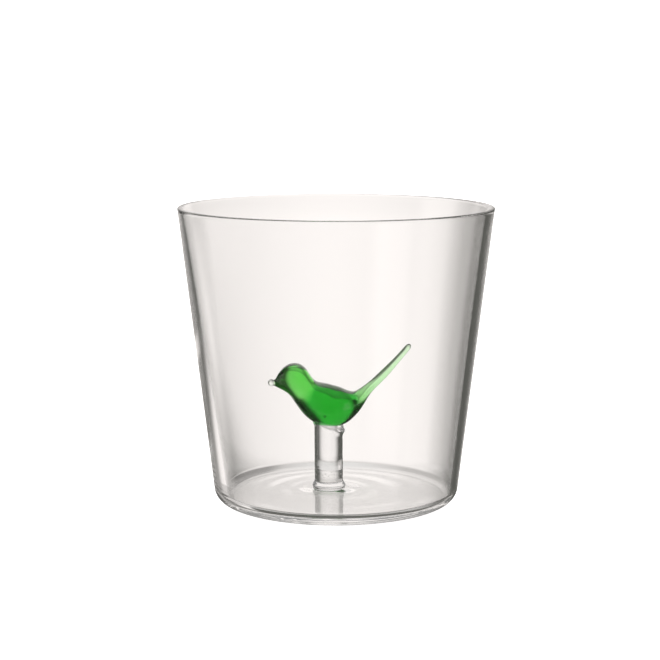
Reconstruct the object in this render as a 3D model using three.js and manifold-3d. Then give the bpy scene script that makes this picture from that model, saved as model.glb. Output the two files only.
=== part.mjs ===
// A hot-worked drinking glass with a small glass bird standing on a post inside it.
// Units are millimetres, +Z is up, and the origin is the centre of the underside.
// The bird stands along the X axis with its beak towards -X and its tail towards +X. It and its post stand
// a little off the vessel's axis, at POST_Y.
import * as THREE from "three";
import { mergeVertices } from "three/addons/utils/BufferGeometryUtils.js";
import Module from "manifold-3d";

// Vessel: a straight tapered wall on a flat, rounded foot.
const HEIGHT = 85;
const RIM_RADIUS = 45;
const FOOT_RADIUS = 34.7; // where the wall's outer line would meet the table
const RIM_WALL = 1.7;
const FOOT_WALL = 2.65;
const FLOOR_THICKNESS = 2.5;
const OUTER_CORNER = 4.5;
const INNER_CORNER = 2.2;
const VESSEL_SIDES = 72;

// Post: a solid rod, a little off the vessel's axis, melted on at both ends.
const POST_X = -2.3;
const POST_Y = 4;
const POST_RADIUS = 4.15;
const POST_EDGE = 0.15; // how far the rod's end edges are softened
const POST_SIDES = 32;
const FOOT_WELD_TOP = 5;
const FOOT_RING_RADIUS = 4.8;
const FOOT_RING_Z = 3.4;
const PUDDLE_RADIUS = 9.3;
const PUDDLE_THICKNESS = 0.3;
const TOP_WELD_BOTTOM = 18.1;
const TOP_WELD_TOP = 21.6;
const TOP_WELD_RADIUS = 4.45;
const TOP_WELD_FLARE = 1.2; // height over which the collar widens from the rod
const TOP_WELD_DRAW = 0.2; // and how far it draws in again under the belly
const LOBE_RADIUS = 1.35;
const LOBE_OFFSET = 3.5;
const LOBE_Z = 19.3;
const GAP = 0.3; // between pieces that are fused on the real object

// Bird: sections between an upper and a lower line, each as wide as its half width says.
// A row is one section: upper x, upper z, lower x, lower z, half width.
const BIRD_SECTIONS = [
  [-17.8, 34.35, -17.6, 32.25, 1.0], // root of the beak
  [-16.8, 36.15, -16.3, 31.55, 2.2],
  [-14.7, 38.15, -15.0, 30.85, 3.5], // brow
  [-11.9, 38.95, -13.9, 30.05, 4.2], // crown
  [-9.5, 38.05, -13.0, 29.05, 4.4],
  [-7.9, 36.15, -12.2, 27.85, 4.4],
  [-6.4, 34.15, -11.3, 26.55, 4.4], // nape, where the head joins the body
  [-4.8, 33.35, -9.7, 24.45, 4.7],
  [-2.8, 33.05, -7.3, 22.35, 5.1],
  [-0.8, 32.55, -4.3, 20.95, 5.4],
  [1.0, 32.05, -1.0, 20.55, 5.5], // deepest part of the belly
  [2.6, 31.35, 2.6, 21.55, 5.0],
  [4.2, 30.85, 5.3, 23.65, 4.0],
  [5.7, 31.05, 7.5, 26.35, 3.0], // where the tail joins the body
  [7.7, 32.35, 9.5, 29.65, 2.2],
  [10.0, 34.15, 11.8, 32.35, 1.7],
  [13.2, 37.15, 14.9, 35.45, 1.5],
  [16.8, 40.65, 18.2, 39.35, 1.3],
  [19.4, 43.45, 20.8, 42.45, 1.1],
  [21.2, 44.95, 22.0, 44.25, 0.8], // tip of the tail
];
const NECK_SECTION = 6;
const TAIL_SECTION = 13;
const SECTION_GAP = 0.1; // half the joint's width, in steps from one section to the next
const BIRD_SIDES = 28;
const STEPS_PER_SECTION = 2;
const BEAK_CENTRE = [-19.05, 0, 33.3];
const BEAK_RADIUS = 0.9;

const clearGlass = { color: 0xf2f4f2, roughness: 0.03, metalness: 0, transparent: true, opacity: 0.35 };
const greenGlass = { color: 0x1f9a2b, roughness: 0.04, metalness: 0, transparent: true, opacity: 0.75 };
const paleGlass = { color: 0xd9f2d0, roughness: 0.04, metalness: 0, transparent: true, opacity: 0.5 };

const wasm = await Module();
wasm.setup();

// The vessel's outer line leans out evenly from foot to rim.
const wallLean = Math.atan2(RIM_RADIUS - FOOT_RADIUS, HEIGHT);

function outerRadius(z) {
  return FOOT_RADIUS + z * Math.tan(wallLean);
}

// The wall is thin at the rim and thickens towards the foot.
function wallThickness(z) {
  return RIM_WALL + (FOOT_WALL - RIM_WALL) * (1 - (z / HEIGHT) ** 2);
}

function innerRadius(z) {
  return outerRadius(z) - wallThickness(z);
}

// Points of an arc about (r, z), from one angle to another, in radians.
function arc(r, z, radius, from, to, steps) {
  const points = [];
  for (let i = 0; i <= steps; i += 1) {
    const angle = from + ((to - from) * i) / steps;
    points.push(new THREE.Vector2(r + radius * Math.cos(angle), z + radius * Math.sin(angle)));
  }
  return points;
}

// A solid of revolution about the Z axis.
function lathe(profile, sides) {
  const geometry = new THREE.LatheGeometry(profile, sides);
  geometry.rotateX(Math.PI / 2);
  return geometry;
}

function vesselGeometry() {
  const cornerR = outerRadius(OUTER_CORNER) - OUTER_CORNER / Math.cos(wallLean);
  const rimRadius = RIM_WALL / 2;
  const rimZ = HEIGHT - rimRadius;
  const innerZ = FLOOR_THICKNESS + INNER_CORNER;
  const innerR = innerRadius(innerZ) - INNER_CORNER / Math.cos(wallLean);
  const wallSteps = 8;
  const profile = [new THREE.Vector2(0, 0)];
  profile.push(...arc(cornerR, OUTER_CORNER, OUTER_CORNER, -Math.PI / 2, -wallLean, 8));
  profile.push(...arc(RIM_RADIUS - rimRadius, rimZ, rimRadius, -wallLean, Math.PI, 8));
  for (let i = 1; i < wallSteps; i += 1) {
    const z = rimZ + ((innerZ - rimZ) * i) / wallSteps;
    profile.push(new THREE.Vector2(innerRadius(z), z));
  }
  profile.push(...arc(innerR, innerZ, INNER_CORNER, -wallLean, -Math.PI / 2, 6));
  profile.push(new THREE.Vector2(0, FLOOR_THICKNESS));
  return lathe(profile, VESSEL_SIDES);
}

function postRodGeometry() {
  const bottom = FOOT_WELD_TOP + GAP;
  const top = TOP_WELD_BOTTOM - GAP;
  const profile = [
    new THREE.Vector2(0, bottom),
    new THREE.Vector2(POST_RADIUS - POST_EDGE, bottom),
    new THREE.Vector2(POST_RADIUS, bottom + POST_EDGE),
    new THREE.Vector2(POST_RADIUS, top - POST_EDGE),
    new THREE.Vector2(POST_RADIUS - POST_EDGE, top),
    new THREE.Vector2(0, top),
  ];
  return lathe(profile, POST_SIDES);
}

// The post's molten foot: a thin puddle on the floor that sweeps up into a ring under the rod.
function footWeldGeometry() {
  const bottom = FLOOR_THICKNESS + GAP;
  const puddleTop = bottom + PUDDLE_THICKNESS;
  const sweep = new THREE.QuadraticBezierCurve(
    new THREE.Vector2(PUDDLE_RADIUS, puddleTop),
    new THREE.Vector2(FOOT_RING_RADIUS + 1, puddleTop),
    new THREE.Vector2(FOOT_RING_RADIUS, FOOT_RING_Z),
  );
  const profile = [new THREE.Vector2(0, bottom), new THREE.Vector2(PUDDLE_RADIUS, bottom)];
  profile.push(...sweep.getPoints(6));
  profile.push(new THREE.Vector2(POST_RADIUS, FOOT_WELD_TOP), new THREE.Vector2(0, FOOT_WELD_TOP));
  return lathe(profile, POST_SIDES);
}

const upperLine = new THREE.CatmullRomCurve3(
  BIRD_SECTIONS.map(([x, z, , , halfWidth]) => new THREE.Vector3(x, halfWidth, z)),
);
const lowerLine = new THREE.CatmullRomCurve3(
  BIRD_SECTIONS.map(([, , x, z]) => new THREE.Vector3(x, 0, z)),
);

// The bird from one section number to another, as a closed cylinder bent to the sections.
// grow thickens it all round; roundedEnd closes its last half section to a dome.
function birdGeometry(from, to, { grow = 0, roundedEnd = false } = {}) {
  const last = BIRD_SECTIONS.length - 1;
  const steps = Math.max(2, Math.round((to - from) * STEPS_PER_SECTION));
  const geometry = new THREE.CylinderGeometry(1, 1, 1, BIRD_SIDES, steps);
  const position = geometry.attributes.position;
  for (let i = 0; i < position.count; i += 1) {
    const along = position.getY(i) + 0.5;
    const section = from + (to - from) * along;
    const upper = upperLine.getPoint(section / last);
    const lower = lowerLine.getPoint(section / last);
    const halfWidth = upper.y;
    upper.y = 0;
    const up = upper.clone().sub(lower).multiplyScalar(0.5);
    const centre = upper.add(lower).multiplyScalar(0.5);
    const dome = Math.max(0, (section - last + 0.5) / 0.5);
    const shrink = roundedEnd ? Math.sqrt(1 - 0.8 * dome * dome) : 1;
    const rise = (position.getX(i) * shrink * (up.length() + grow)) / up.length();
    const side = position.getZ(i) * shrink * (halfWidth + grow);
    position.setXYZ(i, centre.x + up.x * rise, side, centre.z + up.z * rise);
  }
  return geometry;
}

function solidOf(geometry) {
  const bare = geometry.clone();
  bare.deleteAttribute("normal");
  bare.deleteAttribute("uv");
  const merged = mergeVertices(bare, 1e-3);
  const vertProperties = merged.attributes.position.array;
  const triVerts = new Uint32Array(merged.index.array);
  return new wasm.Manifold(new wasm.Mesh({ numProp: 3, vertProperties, triVerts }));
}

function geometryOf(solid) {
  const mesh = solid.getMesh();
  const geometry = new THREE.BufferGeometry();
  geometry.setAttribute("position", new THREE.BufferAttribute(mesh.vertProperties, 3));
  geometry.setIndex(new THREE.BufferAttribute(mesh.triVerts, 1));
  geometry.computeVertexNormals();
  return geometry;
}

// The post's molten head: a collar cupped to the bird's belly, with one run of glass on its side.
function topWeldGeometry() {
  const profile = [new THREE.Vector2(0, TOP_WELD_BOTTOM), new THREE.Vector2(POST_RADIUS, TOP_WELD_BOTTOM)];
  profile.push(new THREE.Vector2(TOP_WELD_RADIUS, TOP_WELD_BOTTOM + TOP_WELD_FLARE));
  profile.push(new THREE.Vector2(TOP_WELD_RADIUS - TOP_WELD_DRAW, TOP_WELD_TOP));
  profile.push(new THREE.Vector2(0, TOP_WELD_TOP));
  const collar = lathe(profile, POST_SIDES);
  collar.translate(POST_X, 0, 0);
  const lobe = new THREE.SphereGeometry(LOBE_RADIUS, 16, 12);
  lobe.translate(POST_X + LOBE_OFFSET, 0, LOBE_Z);
  const belly = birdGeometry(NECK_SECTION, TAIL_SECTION, { grow: GAP });
  return geometryOf(solidOf(collar).add(solidOf(lobe)).subtract(solidOf(belly)));
}

const group = new THREE.Group();
const perch = new THREE.Group(); // the post and the bird on it
perch.position.y = POST_Y;
group.add(perch);

function addPiece(parent, name, geometry, look) {
  const mesh = new THREE.Mesh(geometry, new THREE.MeshStandardMaterial(look));
  mesh.name = name;
  parent.add(mesh);
  return mesh;
}

const lastSection = BIRD_SECTIONS.length - 1;
const bodyStart = NECK_SECTION + SECTION_GAP;
const bodyEnd = TAIL_SECTION - SECTION_GAP;
addPiece(group, "tumbler_vessel", vesselGeometry(), clearGlass);
addPiece(perch, "post_rod", postRodGeometry(), clearGlass).position.x = POST_X;
addPiece(perch, "post_foot_weld", footWeldGeometry(), clearGlass).position.x = POST_X;
addPiece(perch, "post_top_weld", topWeldGeometry(), clearGlass);
addPiece(perch, "bird_head", birdGeometry(0, NECK_SECTION - SECTION_GAP), greenGlass);
addPiece(perch, "bird_body", birdGeometry(bodyStart, bodyEnd), greenGlass);
const tail = birdGeometry(TAIL_SECTION + SECTION_GAP, lastSection, { roundedEnd: true });
addPiece(perch, "bird_tail", tail, greenGlass);
addPiece(perch, "bird_beak_tip", new THREE.SphereGeometry(BEAK_RADIUS, 20, 12), paleGlass).position.set(...BEAK_CENTRE);

export default group;
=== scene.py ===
"""A clear glass tumbler with a green glass bird on a post inside it, in a plain white studio.

Each CAD node is replaced by a fine, smooth mesh of the same shape. Lengths in the pieces' constants are
millimetres, which MM turns into metres. The studio's and the camera's are metres already. The bird stands
4 mm behind the vessel's axis, its beak towards -X.
"""

import math

import bpy
import numpy as np
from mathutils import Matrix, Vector
from mathutils.bvhtree import BVHTree


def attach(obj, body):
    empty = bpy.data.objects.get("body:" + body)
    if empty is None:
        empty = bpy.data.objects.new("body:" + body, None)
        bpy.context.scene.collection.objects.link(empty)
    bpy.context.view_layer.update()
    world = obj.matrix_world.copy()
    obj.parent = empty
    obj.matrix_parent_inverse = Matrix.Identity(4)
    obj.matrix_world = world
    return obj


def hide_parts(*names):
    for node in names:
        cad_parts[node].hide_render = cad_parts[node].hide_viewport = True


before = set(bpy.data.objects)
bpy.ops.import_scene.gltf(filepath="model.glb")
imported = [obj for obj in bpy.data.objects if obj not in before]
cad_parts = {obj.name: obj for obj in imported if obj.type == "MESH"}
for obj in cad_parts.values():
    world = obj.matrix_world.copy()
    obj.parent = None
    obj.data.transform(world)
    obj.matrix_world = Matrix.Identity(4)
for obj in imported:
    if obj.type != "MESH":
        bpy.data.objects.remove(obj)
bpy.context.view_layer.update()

MM = 0.001
GAP = 0.008  # between two fused pieces: enough for a ray to tell their faces apart
GLASS_IOR = 1.47
JOINT_FADE = 0.0001  # how far below 0 the joint value is where glass stops bending light
WHITE = (1, 1, 1, 1)

# Vessel
HEIGHT = 85.0
RIM_RADIUS = 45.0
FOOT_RADIUS = 34.7
RIM_WALL = 1.7
FOOT_WALL = 2.65
WALL_SHIFT = 0.45  # how much thicker than the mean the wall is on the +X side, just below the rim
EVEN_HEIGHT = 45.0  # where the wall is as thick on both sides
FLOOR = 2.5
OUTER_CORNER = 4.5
INNER_CORNER = 2.2
LIP_ROUND = 0.4  # height of the lip's fire-polished round, which is as wide as the wall
LEAN = math.atan2(RIM_RADIUS - FOOT_RADIUS, HEIGHT)
VESSEL_SIDES = 320

# Post
POST_X = -2.3
POST_Y = 4.0
POST_RADIUS = 4.15
POST_BOTTOM = 5.0
POST_TOP = 18.1
PUDDLE_RADIUS = 9.3
GROOVE_HEIGHT = 8.5  # of the faint groove round the post
LOBE_ANGLE = -0.35  # of the thick lobe of glass on the collar, in radians from +X
LOBE_HEIGHT = 19.6
POST_SIDES = 192
POST_SEEDS = [  # x and y from the post's axis, height above the table, and radius
    ((-2.3, -2.2, 7.6), 0.14),
    ((-1.6, -2.6, 6.8), 0.11),
    ((-0.8, -2.9, 7.3), 0.15),
    ((-0.1, -2.5, 6.6), 0.12),
    ((0.8, -2.8, 7.7), 0.13),
    ((1.4, -2.1, 6.9), 0.1),
    ((-1.2, -1.6, 6.1), 0.12),
]

# Bird sections: upper x, upper z, lower x, lower z, half width, and how much the section narrows
# upwards, or downwards where that is negative
BIRD = np.array([
    [-18.2, 34.05, -18.1, 32.45, 0.8, 0.0],
    [-17.6, 34.55, -17.4, 32.1, 1.1, 0.0],
    [-16.8, 35.95, -16.4, 31.6, 1.8, 0.0],
    [-14.7, 38.15, -15.0, 30.85, 3.0, -0.1],
    [-11.9, 38.95, -13.9, 30.05, 4.0, -0.15],
    [-9.5, 38.05, -13.0, 29.05, 4.4, -0.2],
    [-7.9, 36.15, -12.2, 27.85, 4.3, -0.25],
    [-6.4, 34.15, -11.3, 26.55, 4.2, -0.3],
    [-4.8, 33.35, -9.7, 24.45, 4.5, -0.25],
    [-2.8, 33.05, -7.3, 22.35, 5.0, -0.15],
    [-0.8, 32.55, -4.3, 20.95, 5.4, 0.0],
    [1.0, 32.05, -1.0, 20.55, 5.5, 0.0],
    [2.6, 31.35, 2.6, 21.55, 5.0, -0.1],
    [4.2, 30.85, 5.3, 23.65, 4.0, -0.1],
    [5.7, 31.05, 7.5, 26.35, 3.0, 0.05],
    [7.7, 32.35, 9.5, 29.65, 2.2, 0.2],
    [10.0, 34.15, 11.8, 32.35, 1.7, 0.3],
    [13.2, 37.15, 14.9, 35.45, 1.4, 0.35],
    [16.8, 40.65, 18.2, 39.35, 1.15, 0.35],
    [19.4, 43.45, 20.8, 42.45, 0.9, 0.3],
    [21.0, 45.2, 22.15, 44.2, 0.75, 0.0],
])
NECK = 7
TAIL = 14
NECK_DOME = 2.6  # how far the head's glass bulges into the body's at the middle of their joint
TAIL_DOME = -1.6  # and the body's into the tail's, which bulges the other way
TIP_SECTIONS = 0.7  # how much of the last section is the rounded tip of the tail
LAST_RING = 0.05  # what is left of the tip's size at its last ring
BIRD_SIDES = 96
FULL_TOP = 0.5  # how much fuller than an ellipse each section is near its top
BELLY_TOP = 25.0  # no part of the collar reaches this high
BODY_BUBBLE = ((-3.2, 0.6, 24.45), 0.4)  # centre and radius
RINGS_PER_SECTION = 14
BEAD_CENTRE = (-18.87, 33.27)
BEAD_RADIUS = 1.0
BEAD_ROOT = 0.86  # the first ring's radius as a share of the bead's


def outer_radius(z):
    """The vessel's outer line, which leans out evenly."""
    return FOOT_RADIUS + z * math.tan(LEAN)


def wall(z):
    """The mean thickness of the vessel's wall."""
    return RIM_WALL + (FOOT_WALL - RIM_WALL) * (1 - (z / HEIGHT) ** 2)


def smooth(low, high, value):
    """0 at low, 1 at high, smooth between them."""
    t = np.clip((value - low) / (high - low), 0, 1)
    return t * t * (3 - 2 * t)


def bump(value, centre, width):
    """1 at centre, fading to 0 on both sides."""
    return np.exp(-(((value - centre) / width) ** 2))


def arc(r, z, radius, start, end, steps, height=None):
    """Points on part of a circle, or of an ellipse where height is given."""
    angles = np.linspace(start, end, steps + 1)
    return np.stack([r + radius * np.cos(angles), z + (height or radius) * np.sin(angles)], 1)


def spline(points, at):
    """The smooth curve through rows of points, read at fractional row numbers."""
    points = np.asarray(points, float)
    at = np.asarray(at, float)
    n = len(points)
    system = np.eye(n)
    target = np.zeros_like(points)
    for i in range(1, n - 1):
        system[i, i - 1 : i + 2] = 1, 4, 1
        target[i] = 6 * (points[i + 1] - 2 * points[i] + points[i - 1])
    bend = np.linalg.solve(system, target)
    row = np.clip(np.floor(at).astype(int), 0, n - 2)
    t = (at - row)[:, None]
    s = 1 - t
    straight = s * points[row] + t * points[row + 1]
    return straight + ((s**3 - s) * bend[row] + (t**3 - t) * bend[row + 1]) / 6


def circle(sides):
    """The angles of the points round a ring."""
    return np.arange(sides) * 2 * math.pi / sides


def outward(angle):
    """Directions away from a vertical axis."""
    return np.stack([np.cos(angle), np.sin(angle)], 1)


def revolve(profile, sides, centre=(0.0, 0.0)):
    """Rings of points about a vertical axis, from rows of radius and height."""
    angle = circle(sides)
    r = profile[:, 0][:, None]
    z = np.repeat(profile[:, 1][:, None], sides, 1)
    return np.stack([centre[0] + r * np.cos(angle), centre[1] + r * np.sin(angle), z], 2)


def grid_normals(rings):
    """Outward normals of a surface made of rings that run from its start to its end."""
    along = np.gradient(rings, axis=0)
    around = np.roll(rings, -1, 1) - np.roll(rings, 1, 1)
    normals = np.cross(around, along)
    return normals / np.linalg.norm(normals, axis=2, keepdims=True)


def piece_from_rings(
    name, rings, normals=None, slots=(0, 0), caps=(0, 0), centres=(None, None), joint=None, bubbles=()
):
    """A closed mesh from rings of points, with a centre point at each end.

    caps is how many rings at each end belong to its end face, and slots is the two end faces' material
    slots. joint is a value for every point, below 0 where it is fused to the next piece. bubbles are small
    round hollows: centre and radius.
    """
    rings = np.asarray(rings)
    count, sides = rings.shape[:2]
    if normals is None:
        normals = grid_normals(rings)
    start = rings[0].mean(0) if centres[0] is None else np.asarray(centres[0])
    end = rings[-1].mean(0) if centres[1] is None else np.asarray(centres[1])
    points = [rings.reshape(-1, 3), [start, end]]
    first, last = count * sides, count * sides + 1
    faces = []
    for i in range(count - 1):
        a, b = i * sides, (i + 1) * sides
        faces += [(a + j, a + (j + 1) % sides, b + (j + 1) % sides, b + j) for j in range(sides)]
    smooth_faces = slice(caps[0] * sides, (count - 1 - caps[1]) * sides)
    end_fan = (count - 1) * sides
    faces += [(first, (j + 1) % sides, j) for j in range(sides)]
    faces += [(last, end_fan + j, end_fan + (j + 1) % sides) for j in range(sides)]
    slot = np.zeros(len(faces), int)
    slot[: smooth_faces.start] = slots[0]
    slot[smooth_faces.stop : end_fan] = slots[1]
    slot[end_fan : end_fan + sides] = slots[0]
    slot[end_fan + sides :] = slots[1]
    skin = len(faces)
    for centre, radius in bubbles:
        base = sum(len(block) for block in points)
        hollow, hollow_faces = bubble(centre, radius)
        points.append(hollow)
        faces += [tuple(base + corner for corner in face) for face in hollow_faces]
    mesh = bpy.data.meshes.new(name)
    mesh.from_pydata((np.concatenate(points) * MM).tolist(), [], faces)
    mesh.polygons.foreach_set("use_smooth", [True] * len(faces))
    mesh.polygons.foreach_set("material_index", np.concatenate([slot, np.zeros(len(faces) - skin, int)]))
    if joint is not None:
        attribute = mesh.attributes.new("joint", "FLOAT", "POINT")
        values = np.ones(len(mesh.vertices), np.float32)
        values[: len(joint)] = joint
        attribute.data.foreach_set("value", values)
    mesh.update()
    set_normals(mesh, faces, normals.reshape(-1, 3), smooth_faces)
    piece = bpy.data.objects.new(name, mesh)
    bpy.context.scene.collection.objects.link(piece)
    return piece


def set_normals(mesh, faces, normals, smooth_faces):
    """Corners of smooth_faces, which are quads, get their points' normals, and others their face's."""
    corners = np.zeros(len(mesh.loops), int)
    mesh.loops.foreach_get("vertex_index", corners)
    face_normals = np.zeros(len(faces) * 3)
    mesh.polygons.foreach_get("normal", face_normals)
    split = np.repeat(face_normals.reshape(-1, 3), [len(face) for face in faces], axis=0)
    smooth_corners = slice(smooth_faces.start * 4, smooth_faces.stop * 4)
    split[smooth_corners] = normals[corners[smooth_corners]]
    mesh.normals_split_custom_set(split.tolist())


def bubble(centre, radius):
    """Points and faces of a small ball whose faces look inwards."""
    sides, levels = 16, 9
    angle = circle(sides)
    points = [(0, 0, -1)]
    for turn in np.linspace(0, math.pi, levels + 1)[1:-1]:
        r = math.sin(turn)
        points += [(r * math.cos(a), r * math.sin(a), -math.cos(turn)) for a in angle]
    points.append((0, 0, 1))
    faces = []
    for j in range(sides):
        k = (j + 1) % sides
        faces.append((0, 1 + j, 1 + k))
        for level in range(levels - 2):
            a, b = 1 + level * sides, 1 + (level + 1) * sides
            faces.append((a + j, b + j, b + k, a + k))
        top = 1 + (levels - 2) * sides
        faces.append((top + j, len(points) - 1, top + k))
    return np.array(points) * radius + np.asarray(centre), faces


def finish_piece(piece, materials, node):
    """Gives a piece its materials and puts it in the place of its CAD node."""
    for material in materials:
        piece.data.materials.append(material)
    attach(piece, "root")
    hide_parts(node)


# ---------------------------------------------------------------- materials


def glass_material(name, waviness, wave_scale, absorb=None, density=0.0, joint=False):
    """Clear or tinted glass with a faint hot-worked ripple.

    absorb is the colour that passes through. With joint, faces fused to the next piece don't bend light.
    """
    material = bpy.data.materials.new(name)
    material.use_nodes = True
    nodes, links = material.node_tree.nodes, material.node_tree.links
    glass = nodes["Principled BSDF"]
    glass.inputs["Base Color"].default_value = WHITE
    glass.inputs["Transmission Weight"].default_value = 1.0
    glass.inputs["Roughness"].default_value = 0.0
    glass.inputs["IOR"].default_value = GLASS_IOR
    place = nodes.new("ShaderNodeTexCoord")
    noise = nodes.new("ShaderNodeTexNoise")
    noise.inputs["Scale"].default_value = wave_scale
    noise.inputs["Detail"].default_value = 1.0
    noise.inputs["Roughness"].default_value = 0.4
    bumps = nodes.new("ShaderNodeBump")
    bumps.inputs["Strength"].default_value = 1.0
    bumps.inputs["Distance"].default_value = waviness * MM
    links.new(place.outputs["Object"], noise.inputs["Vector"])
    links.new(noise.outputs["Fac"], bumps.inputs["Height"])
    links.new(bumps.outputs["Normal"], glass.inputs["Normal"])
    if absorb is not None:
        volume = nodes.new("ShaderNodeVolumeAbsorption")
        volume.inputs["Color"].default_value = (*absorb, 1)
        volume.inputs["Density"].default_value = density
        links.new(volume.outputs["Volume"], nodes["Material Output"].inputs["Volume"])
    if joint:
        depth = nodes.new("ShaderNodeAttribute")
        depth.attribute_name = "joint"
        fused = nodes.new("ShaderNodeMapRange")
        fused.interpolation_type = "LINEAR"
        fused.inputs["From Min"].default_value = -JOINT_FADE
        fused.inputs["From Max"].default_value = 0.0
        fused.inputs["To Min"].default_value = 1.0
        fused.inputs["To Max"].default_value = GLASS_IOR
        links.new(depth.outputs["Fac"], fused.inputs["Value"])
        links.new(fused.outputs["Result"], glass.inputs["IOR"])
    return material


def joint_material():
    """For faces where two clear pieces are fused: light passes straight on."""
    material = bpy.data.materials.new("fused_joint")
    material.use_nodes = True
    nodes, links = material.node_tree.nodes, material.node_tree.links
    nodes.remove(nodes["Principled BSDF"])
    clear = nodes.new("ShaderNodeBsdfTransparent")
    links.new(clear.outputs["BSDF"], nodes["Material Output"].inputs["Surface"])
    return material


CLEAR = glass_material("clear_glass", 0.004, 160.0)
JOINT = joint_material()
BODY_GREEN = glass_material("green_glass_body", 0.01, 420.0, (0.01, 0.79, 0.08), 385.0, joint=True)
HEAD_GREEN = glass_material("green_glass_head", 0.01, 420.0, (0.17, 0.85, 0.03), 265.0, joint=True)
TAIL_GREEN = glass_material("green_glass_tail", 0.01, 420.0, (0.17, 0.87, 0.03), 230.0, joint=True)
PALE = glass_material("pale_glass", 0.002, 300.0, (0.5, 0.92, 0.4), 60.0, joint=True)


# ---------------------------------------------------------------- vessel


def wall_shift(z):
    """How far the inner face stands towards -X at a height."""
    return WALL_SHIFT * (z - EVEN_HEIGHT) / (HEIGHT - EVEN_HEIGHT)


def floor_relief(r, angle):
    """The hot-worked floor's height above its mean: fine marks near its edge in two places, and a swell."""
    marks = 0.02 * math.cos(2 * math.pi * r / 0.9) * smooth(24.5, 26, r) * smooth(29, 28, r)
    marked = bump(angle, 5.93, 0.3) + 0.6 * bump(angle, 3.85, 0.4)
    swell = 0.02 * math.sin(2 * math.pi * (r - PUDDLE_RADIUS) / 9)
    swell *= smooth(PUDDLE_RADIUS, 12, r) * smooth(28, 22, r)
    wander = 1 + 0.7 * np.sin(2 * angle + 0.11 * r) + 0.5 * np.sin(3 * angle - 1.0)
    return marks * marked + swell * wander


def vessel_rings():
    """Rings from under the foot, up the outside, over the lip, down the inside and in to the post."""
    corner_r = outer_radius(OUTER_CORNER) - OUTER_CORNER / math.cos(LEAN)
    half_lip = RIM_WALL / 2
    lip_r = RIM_RADIUS - half_lip
    lip_z = HEIGHT - LIP_ROUND
    inner_z = FLOOR + INNER_CORNER
    inner_r = outer_radius(inner_z) - wall(inner_z) - INNER_CORNER / math.cos(LEAN)
    under = np.stack([np.linspace(3, corner_r, 8)[:-1], np.zeros(7)], 1)
    outside = [under, arc(corner_r, OUTER_CORNER, OUTER_CORNER, -math.pi / 2, -LEAN, 32)]
    rise = np.linspace(outside[-1][-1, 1], lip_z, 26)[1:-1]
    outside.append(np.stack([outer_radius(rise), rise], 1))
    outside.append(arc(lip_r, lip_z, half_lip, 0, math.pi / 2, 14, LIP_ROUND))
    inside = [arc(lip_r, lip_z, half_lip, math.pi / 2, math.pi, 14, LIP_ROUND)[1:]]
    fall = lip_z - (lip_z - inner_z) * np.linspace(0, 1, 48)[1:-1] ** 1.5
    inside.append(np.stack([outer_radius(fall) - wall(fall), fall], 1))
    inside.append(arc(inner_r, inner_z, INNER_CORNER, -LEAN, -math.pi / 2, 20))
    outer = revolve(np.concatenate(outside), VESSEL_SIDES)
    inner = revolve(np.concatenate(inside), VESSEL_SIDES)
    shift = wall_shift(inner[:, :, 2])
    lip_rows = len(inside[0])
    shift[:lip_rows] *= smooth(0, lip_rows, np.arange(1, lip_rows + 1))[:, None]
    inner[:, :, 0] -= shift
    floor = []
    angle = circle(VESSEL_SIDES)
    start_x = -wall_shift(FLOOR)
    for step in np.linspace(0, 1, 100)[1:]:
        r = inner_r + (PUDDLE_RADIUS - inner_r) * step
        x = start_x + (POST_X - start_x) * smooth(0, 1, step)
        y = POST_Y * smooth(0, 1, step)
        height = FLOOR + floor_relief(r, angle)
        floor.append(np.stack([x + r * np.cos(angle), y + r * np.sin(angle), height], 1))
    return np.concatenate([outer, inner, np.array(floor)])


def make_vessel():
    """The tumbler. Under the post's puddle, where the two are fused, its floor has the joint's material."""
    rings = vessel_rings()
    normals = grid_normals(rings)
    # Level at the puddle's edge, as the puddle is there.
    normals[-1] = (0, 0, 1)
    vessel = piece_from_rings(
        "glass_vessel", rings, normals, slots=(0, 1), centres=((0, 0, 0), (POST_X, POST_Y, FLOOR))
    )
    finish_piece(vessel, [CLEAR, JOINT], "tumbler_vessel")


# ---------------------------------------------------------------- post


def make_foot_weld():
    """The post's molten foot: a thin puddle on the floor, and a ring that swells out above it."""
    # Radius and height above the floor
    puddle = [(PUDDLE_RADIUS, 0.0), (8.0, 0.002), (6.8, 0.006), (5.8, 0.015), (5.05, 0.04)]
    undercut = [(4.7, 0.12), (4.62, 0.3), (4.76, 0.55)]
    swelling = [(4.87, 0.86), (4.82, 1.2), (4.6, 1.6), (4.34, 2.0), (4.19, 2.3)]
    outline = puddle + undercut + swelling + [(POST_RADIUS, POST_BOTTOM - FLOOR)]
    profile = spline(outline, np.linspace(0, len(outline) - 1, 96))
    profile[:, 1] = FLOOR + np.maximum(profile[:, 1], GAP)
    rings = revolve(profile, POST_SIDES, (POST_X, POST_Y))
    angle = circle(POST_SIDES)
    r, z = profile[:, 0, None], profile[:, 1, None]
    # Two low webs spread from the post over the puddle.
    right_web = 0.35 * bump(r, 5.0, 1.9) * bump(angle, 5.85, 0.45)
    left_web = 0.16 * bump(r, 6.6, 1.6) * bump(angle, 3.25, 0.5)
    rings[:, :, 2] += (right_web + left_web) * smooth(3.0, 2.6, z) * smooth(PUDDLE_RADIUS, 8.5, r)
    # At the back it hardly swells out.
    behind = bump(angle, math.pi / 2, 1.1) * smooth(2.8, 3.3, z)
    rings[:, :, :2] -= (0.9 * (r - POST_RADIUS) * behind)[:, :, None] * outward(angle)
    normals = grid_normals(rings)
    normals[0] = (0, 0, 1)
    weld = piece_from_rings("glass_post_foot", rings, normals, slots=(1, 1))
    finish_piece(weld, [CLEAR, JOINT], "post_foot_weld")


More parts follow.
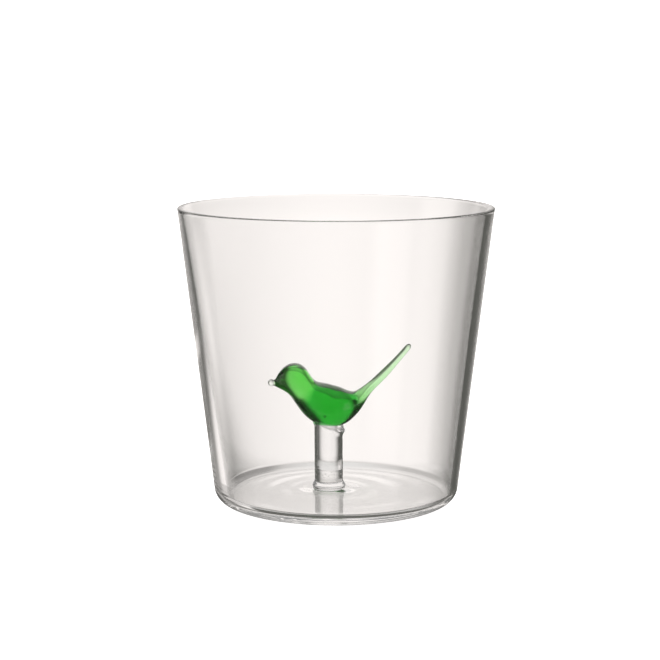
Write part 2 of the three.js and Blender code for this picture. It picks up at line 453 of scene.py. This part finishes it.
def make_rod():
    """The post: a drawn rod, slightly uneven, with seeds in its foot."""
    height = np.linspace(POST_BOTTOM + GAP, POST_TOP - GAP, 60)
    radius = POST_RADIUS + 0.02 * np.sin(height * 0.9) - 0.012 * bump(height, GROOVE_HEIGHT, 0.4)
    rings = revolve(np.stack([radius, height], 1), POST_SIDES, (POST_X, POST_Y))
    seeds = [(np.add(place, (POST_X, POST_Y, 0)), size) for place, size in POST_SEEDS]
    rod = piece_from_rings("glass_post", rings, slots=(1, 1), bubbles=seeds)
    finish_piece(rod, [CLEAR, JOINT], "post_rod")


# ---------------------------------------------------------------- bird


def bird_rings():
    """All the bird's rings, from the root of the beak to the tip of the tail."""
    last = len(BIRD) - 1
    section = np.linspace(0, last, last * RINGS_PER_SECTION + 1)
    row = spline(BIRD, section)
    upper, lower, half_width, narrow = row[:, 0:2], row[:, 2:4], row[:, 4], row[:, 5]
    into_tip = np.clip((section - last + TIP_SECTIONS) / TIP_SECTIONS, 0, 1)
    rounding = np.sqrt(np.maximum(1 - into_tip**2, LAST_RING**2))
    centre = (upper + lower) / 2
    up = (upper - lower) / 2 * rounding[:, None]
    angle = circle(BIRD_SIDES)
    rise = np.cos(angle)
    flank = (1 - narrow[:, None] * rise[None]) * (1 + FULL_TOP * np.maximum(rise[None], 0) ** 2)
    side = POST_Y - np.sin(angle)[None] * (half_width * rounding)[:, None] * flank
    x = centre[:, 0, None] + up[:, 0, None] * rise
    z = centre[:, 1, None] + up[:, 1, None] * rise
    return np.stack([x, side, z], 2)


def dome(ring, apex):
    """Rings that close a ring with a shallow dome. apex is how far its middle stands out."""
    centre = ring.mean(0)
    shares = np.linspace(1, 0, 9)[1:-1]
    return np.array([centre + (ring - centre) * share + apex * (1 - share**2) for share in shares])


def surface_tree(rings):
    """The surface that rings make, for finding where a ray meets it."""
    faces = []
    for i in range(len(rings) - 1):
        a, b = i * BIRD_SIDES, (i + 1) * BIRD_SIDES
        for j in range(BIRD_SIDES):
            k = (j + 1) % BIRD_SIDES
            faces.append((a + j, a + k, b + k, b + j))
    return BVHTree.FromPolygons([tuple(point) for point in rings.reshape(-1, 3)], faces)


def make_bird(rings):
    """The head, body and tail, which are fused at domed joints."""
    normals = grid_normals(rings)
    neck, tail = NECK * RINGS_PER_SECTION, TAIL * RINGS_PER_SECTION

    def part(first, last, start, end):
        """Rings from first to last with domed joints, their normals, joint values and caps.

        start and end are the domes' depths, None where the piece just ends.
        """
        mine = rings[first : last + 1].copy()
        bent = normals[first : last + 1]
        joint = np.ones(mine.shape[:2])
        caps = [0, 0]
        for at, depth in ((0, start), (-1, end)):
            if depth is None:
                continue
            here = (first, last)[at]
            axis = rings[min(here + 1, len(rings) - 1)].mean(0) - rings[max(here - 1, 0)].mean(0)
            axis /= np.linalg.norm(axis)
            inward = 1 if at == 0 else -1
            mine[at] += axis * inward * GAP / 2
            joint[at] = 0
            cap = dome(mine[at], axis * depth)
            caps[at] = len(cap)
            blocks = (
                (cap, mine),
                (np.zeros(cap.shape), bent),
                (np.full(cap.shape[:2], -1.0), joint),
            )
            if at == 0:
                mine, bent, joint = [np.concatenate([c[::-1], m]) for c, m in blocks]
            else:
                mine, bent, joint = [np.concatenate([m, c]) for c, m in blocks]
        ends = [1.0 if start is None else -1.0, 1.0 if end is None else -1.0]
        return mine, bent, np.concatenate([joint.reshape(-1), ends]), caps

    mine, bent, joint, caps = part(0, neck, 0.0, NECK_DOME)
    head = piece_from_rings("bird_head_glass", mine, bent, caps=caps, joint=joint)
    finish_piece(head, [HEAD_GREEN], "bird_head")

    mine, bent, joint, caps = part(neck, tail, NECK_DOME, TAIL_DOME)
    # The belly is fused to the collar, inside its edge.
    x, y = mine[:, :, 0] - POST_X, mine[:, :, 1] - POST_Y
    reach = np.hypot(x, y) - collar_radius(np.arctan2(y, x))
    reach = np.where(mine[:, :, 2] < BELLY_TOP, reach, 1.0).reshape(-1)
    joint[: len(reach)] = np.minimum(joint[: len(reach)], reach)
    body = piece_from_rings("bird_body_glass", mine, bent, caps=caps, joint=joint, bubbles=[BODY_BUBBLE])
    finish_piece(body, [BODY_GREEN], "bird_body")

    mine, bent, joint, caps = part(tail, len(rings) - 1, TAIL_DOME, None)
    tail_piece = piece_from_rings("bird_tail_glass", mine, bent, caps=caps, joint=joint)
    finish_piece(tail_piece, [TAIL_GREEN], "bird_tail")


def make_bead(first_ring):
    """The beak's tip: a clear bead that starts on the head's first ring."""
    angle = circle(BIRD_SIDES)
    begin = math.asin(BEAD_ROOT)
    rings = [first_ring - np.array([GAP / 2, 0, 0])]
    for turn in np.linspace(begin, math.pi, 30)[:-1]:
        x = BEAD_CENTRE[0] + BEAD_RADIUS * math.cos(turn)
        r = BEAD_RADIUS * max(math.sin(turn), 0.02)
        side = POST_Y - r * np.sin(angle)
        z = BEAD_CENTRE[1] + r * np.cos(angle)
        rings.append(np.stack([np.full(BIRD_SIDES, x), side, z], 1))
    rings = np.array(rings)
    joint = np.ones(rings.shape[0] * BIRD_SIDES + 2)
    joint[:BIRD_SIDES] = 0
    joint[-2] = -1
    bead = piece_from_rings("bird_beak_bead", rings[:, ::-1], joint=joint)
    finish_piece(bead, [PALE], "bird_beak_tip")


def collar_radius(angle):
    """Where the collar's edge meets the belly, by the angle about the post: nearer across the bird."""
    return 4.45 - 0.15 * np.cos(angle) - 0.85 * np.sin(angle) ** 2


def make_collar(tree):
    """The clear glass between post and bird: its top follows the belly, and a lobe hangs on its side."""
    angle = circle(POST_SIDES)
    edge = collar_radius(angle)

    def belly(r):
        heights = []
        for radius, a in zip(r, angle):
            start = Vector((POST_X + radius * math.cos(a), POST_Y + radius * math.sin(a), 10))
            heights.append(tree.ray_cast(start, Vector((0, 0, 1)))[0].z - GAP)
        return np.array(heights)

    def ring(r, z):
        return np.stack([POST_X + r * np.cos(angle), POST_Y + r * np.sin(angle), z], 1)

    top = belly(edge)
    wrapped = (angle + math.pi) % (2 * math.pi) - math.pi
    rings = []
    for share in np.linspace(0, 1, 40):
        z = POST_TOP + (top - POST_TOP) * share
        flare = (edge - POST_RADIUS) * smooth(0.5, 1, share) ** 2
        lobe = 0.72 * bump(wrapped, LOBE_ANGLE, 0.75) * bump(z, LOBE_HEIGHT, 0.95)
        front_lobe = 0.05 * bump(wrapped, -1.5, 0.4) * bump(z, LOBE_HEIGHT + 0.5, 0.5)
        lobes = (lobe + front_lobe) * smooth(1, 0.85, share)
        rings.append(ring(POST_RADIUS + flare + lobes, z))
    inner_shares = np.linspace(1, 0, 14)[1:-1]
    for share in inner_shares:
        r = edge * share
        rings.append(ring(r, belly(r)))
    centre = (POST_X, POST_Y, belly(np.zeros(1))[0])
    collar = piece_from_rings(
        "glass_post_collar", rings, slots=(1, 1), caps=(0, len(inner_shares)), centres=(None, centre)
    )
    finish_piece(collar, [CLEAR, JOINT], "post_top_weld")


# ---------------------------------------------------------------- studio

FLOOR_HALF = 3.0
FLOOR_DROP = 0.0002  # below the glass, so that their faces don't meet
SCREEN_DISTANCE = 0.17  # behind the vessel's axis
SCREEN_HALF = 0.3
SCREEN_BOTTOM = -0.11
SCREEN_TOP = 0.5
TABLE_LIGHT_RADII = (0.0325, 0.046)
TABLE_LIGHT_DROP = 0.0003
TABLE_LIGHT_SIDES = 64

SCREEN_COLOUR = (1.12, 1.07, 1.04, 1)
TABLE_COLOUR = (0.85, 0.83, 0.81, 1)
SIDE_COLOUR = (1.05, 1.0, 0.97, 1)
DARK = (0.10, 0.10, 0.09, 1)
OVERHEAD = (0.35, 0.35, 0.35, 1)


def sheet(name, points, faces):
    """A flat stage object from points in metres."""
    mesh = bpy.data.meshes.new(name)
    mesh.from_pydata(points, [], faces)
    piece = bpy.data.objects.new(name, mesh)
    bpy.context.scene.collection.objects.link(piece)
    return piece


def make_floor():
    """The pale floor. The glass doesn't show it, but the lit screen and table below."""
    half = FLOOR_HALF
    corners = [(-half, -half, 0), (half, -half, 0), (half, half, 0), (-half, half, 0)]
    floor = sheet("floor", corners, [(0, 1, 2, 3)])
    floor.location.z = -FLOOR_DROP
    material = bpy.data.materials.new("floor")
    material.use_nodes = True
    paper = material.node_tree.nodes["Principled BSDF"]
    paper.inputs["Base Color"].default_value = (0.9, 0.9, 0.9, 1)
    paper.inputs["Roughness"].default_value = 0.9
    paper.inputs["Emission Color"].default_value = WHITE
    paper.inputs["Emission Strength"].default_value = 0.95
    floor.data.materials.append(material)
    floor.visible_transmission = False
    floor.visible_glossy = False


class Nodes:
    """Short ways to add the nodes that the studio's light is made of."""

    def __init__(self, tree):
        self.nodes, self.links = tree.nodes, tree.links
        self.nodes.clear()

    def add(self, kind, *values, **settings):
        """A new node whose inputs in use take the values in order. Gives its first output in use."""
        node = self.nodes.new(kind)
        for name, value in settings.items():
            setattr(node, name, value)
        for socket, value in zip([s for s in node.inputs if s.enabled], values):
            if isinstance(value, bpy.types.NodeSocket):
                self.links.new(value, socket)
            else:
                socket.default_value = value
        return next((s for s in node.outputs if s.enabled), None)

    def maths(self, operation, *values):
        return self.add("ShaderNodeMath", *values, operation=operation)

    def product(self, first, *others):
        for other in others:
            first = self.maths("MULTIPLY", first, other)
        return first

    def ramp(self, value, low, high):
        """0 at low, 1 at high, smooth between them."""
        return self.add("ShaderNodeMapRange", value, low, high, interpolation_type="SMOOTHSTEP")

    def edge(self, value, angle, fade):
        """1 where value, a sine, is that of angle, and 0 beyond the fade, both in degrees."""
        return self.ramp(value, math.sin(math.radians(angle + fade)), math.sin(math.radians(angle)))

    def mix(self, share, low, high):
        return self.add("ShaderNodeMix", share, low, high, data_type="RGBA")

    def coordinates(self, kind):
        """x, y and z of the texture coordinates that kind names."""
        place = self.nodes.new("ShaderNodeTexCoord")
        split = self.nodes.new("ShaderNodeSeparateXYZ")
        self.links.new(place.outputs[kind], split.inputs[0])
        return split.outputs


def light_glass_only(piece, make_light):
    """Lights a stage object that only the glass shows.

    make_light gives its share of light, the light's colour, and the tint of what shows through it.
    """
    material = bpy.data.materials.new(piece.name)
    material.use_nodes = True
    kit = Nodes(material.node_tree)
    share, colour, tint = make_light(kit)
    light = kit.add("ShaderNodeEmission", colour, 1.0)
    clear = kit.add("ShaderNodeBsdfTransparent", tint)
    kit.add("ShaderNodeOutputMaterial", kit.add("ShaderNodeMixShader", share, clear, light))
    piece.data.materials.append(material)
    piece.visible_camera = False
    piece.visible_diffuse = False
    piece.visible_shadow = False


def screen_light(kit):
    """The screen is brightest in the middle, fades out at its sides and is a little dimmer high up.

    Low down, where the vessel's floor shows it, it is dimmer, and at its foot a little brighter again.
    x and z are metres from the vessel's axis and from the table.
    """
    x, _, z = kit.coordinates("Object")
    left_edge = kit.maths("MULTIPLY_ADD", kit.ramp(z, -0.04, 0.03), 0.032, 0.075)
    left = kit.ramp(kit.maths("ADD", x, left_edge), -0.04, 0.04)
    right = kit.ramp(x, 0.100, 0.040)
    middle = kit.maths("MULTIPLY_ADD", kit.ramp(kit.maths("ABSOLUTE", x), 0.0, 0.055), -0.12, 1.0)
    at_foot = kit.maths("MULTIPLY", kit.ramp(z, -0.054, -0.062), 0.35)
    low = kit.maths("MAXIMUM", kit.ramp(z, -0.041, -0.026), at_foot)
    low = kit.maths("MULTIPLY_ADD", low, 0.45, 0.55)
    high = kit.maths("MULTIPLY_ADD", kit.ramp(z, 0.060, 0.070), -0.07, 1.0)
    return kit.product(left, right, middle, low, high), SCREEN_COLOUR, WHITE


def make_screen():
    """The lit screen behind the glass."""
    half = SCREEN_HALF
    low, high = SCREEN_BOTTOM, SCREEN_TOP
    corners = [(-half, 0, low), (half, 0, low), (half, 0, high), (-half, 0, high)]
    screen = sheet("screen", corners, [(0, 1, 2, 3)])
    screen.location.y = SCREEN_DISTANCE
    light_glass_only(screen, screen_light)


def table_light(kit):
    """The ring is lit behind the foot and in front of it, and dims what shows through it at its left.

    That is where the side light at 135 degrees would leave a mark on the post.
    """
    x, y, _ = kit.coordinates("Object")
    middle = kit.ramp(kit.maths("ABSOLUTE", x), 0.022, 0.004)
    behind = kit.maths("MULTIPLY", kit.ramp(y, 0.009, 0.022), middle)
    front = kit.maths("MULTIPLY", kit.ramp(y, -0.012, -0.026), 0.5)
    shade = kit.mix(kit.ramp(x, -0.016, -0.024), WHITE, (0.6, 0.6, 0.6, 1))
    return kit.maths("ADD", behind, front), TABLE_COLOUR, shade


def make_table_light():
    """A ring on the table close round the foot. Only light that leaves the foot steeply meets it."""
    angle = circle(TABLE_LIGHT_SIDES)
    height = np.full(TABLE_LIGHT_SIDES, -TABLE_LIGHT_DROP)
    rings = [np.stack([r * np.cos(angle), r * np.sin(angle), height], 1) for r in TABLE_LIGHT_RADII]
    faces = []
    for j in range(TABLE_LIGHT_SIDES):
        k = (j + 1) % TABLE_LIGHT_SIDES
        faces.append((j, TABLE_LIGHT_SIDES + j, TABLE_LIGHT_SIDES + k, k))
    light_glass_only(sheet("table_light", np.concatenate(rings).tolist(), faces), table_light)


# Soft lit patches of the studio for the glass seen from its other sides, in degrees: azimuth from +X, half
# the width across it, and the elevations of the lower and upper edge. The fades are how far beyond its
# edges each patch ends.
SIDE_LIGHTS = [(180.0, 12.0, -14.0, 8.0), (135.0, 8.0, -38.0, -18.0), (-45.0, 8.0, -23.0, -9.0)]
SIDE_FADE = 13.0
TOP_FADE = 4.0
BOTTOM_FADE = -5.0


def make_world():
    """A dark studio as the glass shows it, with lit patches, and white to the camera and the floor."""
    world = bpy.data.worlds.new("studio")
    bpy.context.scene.world = world
    world.use_nodes = True
    kit = Nodes(world.node_tree)
    x, y, z = kit.coordinates("Generated")
    lit = kit.mix(kit.ramp(z, 0.5, 0.8), DARK, OVERHEAD)
    for azimuth, half_width, bottom, top in SIDE_LIGHTS:
        turn = math.radians(azimuth)
        ahead = kit.maths("MULTIPLY_ADD", y, math.sin(turn), kit.maths("MULTIPLY", x, math.cos(turn)))
        aside = kit.maths("MULTIPLY_ADD", y, math.cos(turn), kit.maths("MULTIPLY", x, -math.sin(turn)))
        across = kit.edge(kit.maths("ABSOLUTE", aside), half_width, SIDE_FADE)
        below_top = kit.edge(z, top, TOP_FADE)
        above_bottom = kit.edge(z, bottom, BOTTOM_FADE)
        share = kit.product(kit.ramp(ahead, 0.0, 0.4), across, below_top, above_bottom)
        lit = kit.mix(share, lit, SIDE_COLOUR)
    path = kit.nodes.new("ShaderNodeLightPath")
    lit = kit.mix(path.outputs["Is Diffuse Ray"], lit, WHITE)
    lit = kit.mix(path.outputs["Is Camera Ray"], lit, (1.1, 1.1, 1.1, 1))
    kit.add("ShaderNodeOutputWorld", kit.add("ShaderNodeBackground", lit, 1.0))


CAMERA_DISTANCE = 0.5384
CAMERA_HEIGHT = 0.1317
CAMERA_PITCH = 0.1516  # downwards, in radians
CAMERA_LENS = 103.7018  # in millimetres, for a picture CAMERA_SENSOR wide
CAMERA_SENSOR = 36.0
CAMERA_SHIFT = -0.009197  # sideways, as a share of the picture's width


def make_camera():
    """A long lens in front of the glass, looking slightly down at it."""
    data = bpy.data.cameras.new("camera")
    data.sensor_width = CAMERA_SENSOR
    data.lens = CAMERA_LENS
    data.shift_x = CAMERA_SHIFT
    camera = bpy.data.objects.new("camera", data)
    camera.location = (0, -CAMERA_DISTANCE, CAMERA_HEIGHT)
    camera.rotation_euler = (math.pi / 2 - CAMERA_PITCH, 0, 0)
    bpy.context.scene.collection.objects.link(camera)
    bpy.context.scene.camera = camera


make_camera()
make_floor()
make_screen()
make_table_light()
make_world()
scene = bpy.context.scene
scene.view_settings.view_transform = "Standard"
scene.cycles.max_bounces = 128
scene.cycles.transmission_bounces = 128
scene.cycles.glossy_bounces = 128
scene.cycles.transparent_max_bounces = 32

make_vessel()
make_foot_weld()
make_rod()
bird = bird_rings()
make_bird(bird)
make_bead(bird[0])
make_collar(surface_tree(bird))
